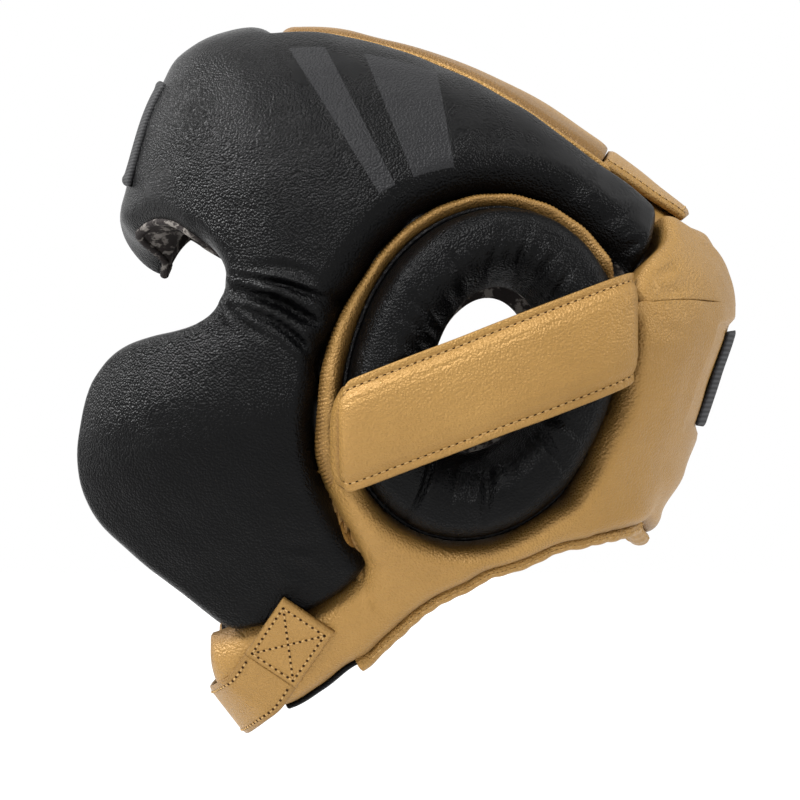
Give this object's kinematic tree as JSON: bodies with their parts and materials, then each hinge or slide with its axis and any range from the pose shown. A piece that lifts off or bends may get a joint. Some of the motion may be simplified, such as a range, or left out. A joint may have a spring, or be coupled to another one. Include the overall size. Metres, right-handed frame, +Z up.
{
  "type": "boxing headguard",
  "caption": "Padded boxing headguard with open face, ring-shaped ear pads crossed by a strap, a lapped crown flap, split rear flaps closed by a strap, and a chin strap.",
  "frame": {"origin": "centre of the head space, on the mid-plane, level with the upper half of the ear pads", "axes": "+Z up along the worn head, face looking along -Y, wearer's left along +X"},
  "size_m": [0.219, 0.277, 0.2984],
  "materials": {
    "black_leather": "satin",
    "gold_leather": "satin",
    "badge_patch": "satin",
    "dark_strap": "matte",
    "hook_and_loop": "matte",
    "lining": "matte",
    "foam": "matte"
  },
  "bodies": {
    "headguard": {"forehead_cover": "black_leather", "forehead_foam": "foam", "forehead_lining": "lining", "forehead_badge": "badge_patch", "side_cover_left": "black_leather", "side_cover_right": "black_leather", "side_foam_left": "foam", "side_foam_right": "foam", "side_lining_left": "lining", "side_lining_right": "lining", "cheek_cover_left": "black_leather", "cheek_cover_right": "black_leather", "cheek_foam_left": "foam", "cheek_foam_right": "foam", "cheek_lining_left": "lining", "cheek_lining_right": "lining", "ear_pad_cover_left": "black_leather", "ear_pad_cover_right": "black_leather", "ear_pad_foam_left": "foam", "ear_pad_foam_right": "foam", "ear_pad_lining_left": "lining", "ear_pad_lining_right": "lining", "ear_strap_left": "gold_leather", "ear_strap_right": "gold_leather", "ear_welt_left": "gold_leather", "ear_welt_right": "gold_leather", "neck_cover_left": "gold_leather", "neck_cover_right": "gold_leather", "neck_foam_left": "foam", "neck_foam_right": "foam", "neck_lining_left": "lining", "neck_lining_right": "lining", "neck_binding_left": "gold_leather", "neck_binding_right": "gold_leather", "yoke_cover": "gold_leather", "yoke_foam": "foam", "yoke_lining": "lining", "crown_cover": "gold_leather", "crown_foam": "foam", "crown_lining": "lining", "crown_tongue": "gold_leather", "crown_loop_patch": "hook_and_loop", "chin_tab_left": "gold_leather", "chin_tab_right": "gold_leather", "chin_loop_patch": "hook_and_loop"},
    "rear_flap_left": {"flap_cover_left": "gold_leather", "flap_foam_left": "foam", "flap_lining_left": "lining", "flap_binding_left": "gold_leather"},
    "rear_flap_right": {"flap_cover_right": "gold_leather", "flap_foam_right": "foam", "flap_lining_right": "lining", "flap_binding_right": "gold_leather", "rear_loop_patch": "hook_and_loop"},
    "rear_strap": {"rear_strap": "dark_strap", "rear_hook_patch": "hook_and_loop"},
    "crown_flap": {"crown_flap": "gold_leather", "crown_hook_patch": "hook_and_loop"},
    "chin_strap": {"chin_strap": "gold_leather", "chin_hook_patch": "hook_and_loop"}
  },
  "joints": [
    {"name": "rear_flap_left_spread", "type": "hinge", "parent": "headguard", "child": "rear_flap_left", "pos_m": [0.08555, 0.0875, 0.009], "axis": [-0.2961, 0, -0.9552], "range_deg": [0, 18]},
    {"name": "rear_flap_right_spread", "type": "hinge", "parent": "headguard", "child": "rear_flap_right", "pos_m": [-0.08555, 0.0875, 0.009], "axis": [-0.2961, 0, 0.9552], "range_deg": [0, 18]},
    {"name": "rear_strap_peel", "type": "hinge", "parent": "rear_flap_left", "child": "rear_strap", "pos_m": [0.02872, 0.11991, -0.02156], "axis": [0, -0.2501, -0.9682], "range_deg": [0, 100]},
    {"name": "crown_flap_peel", "type": "hinge", "parent": "headguard", "child": "crown_flap", "pos_m": [0, 0.07581, 0.07802], "axis": [1, 0, 0], "range_deg": [0, 60]},
    {"name": "chin_strap_swing", "type": "hinge", "parent": "headguard", "child": "chin_strap", "pos_m": [0.05149, -0.06387, -0.14291], "axis": [0.0642, -0.9004, 0.4302], "range_deg": [0, 75]}
  ],
  "couplings": [
    {"joint": "rear_flap_right_spread", "follows": "rear_flap_left_spread", "ratio": 1},
    {"joint": "rear_strap_peel", "follows": "rear_flap_left_spread", "ratio": 5.5}
  ]
}
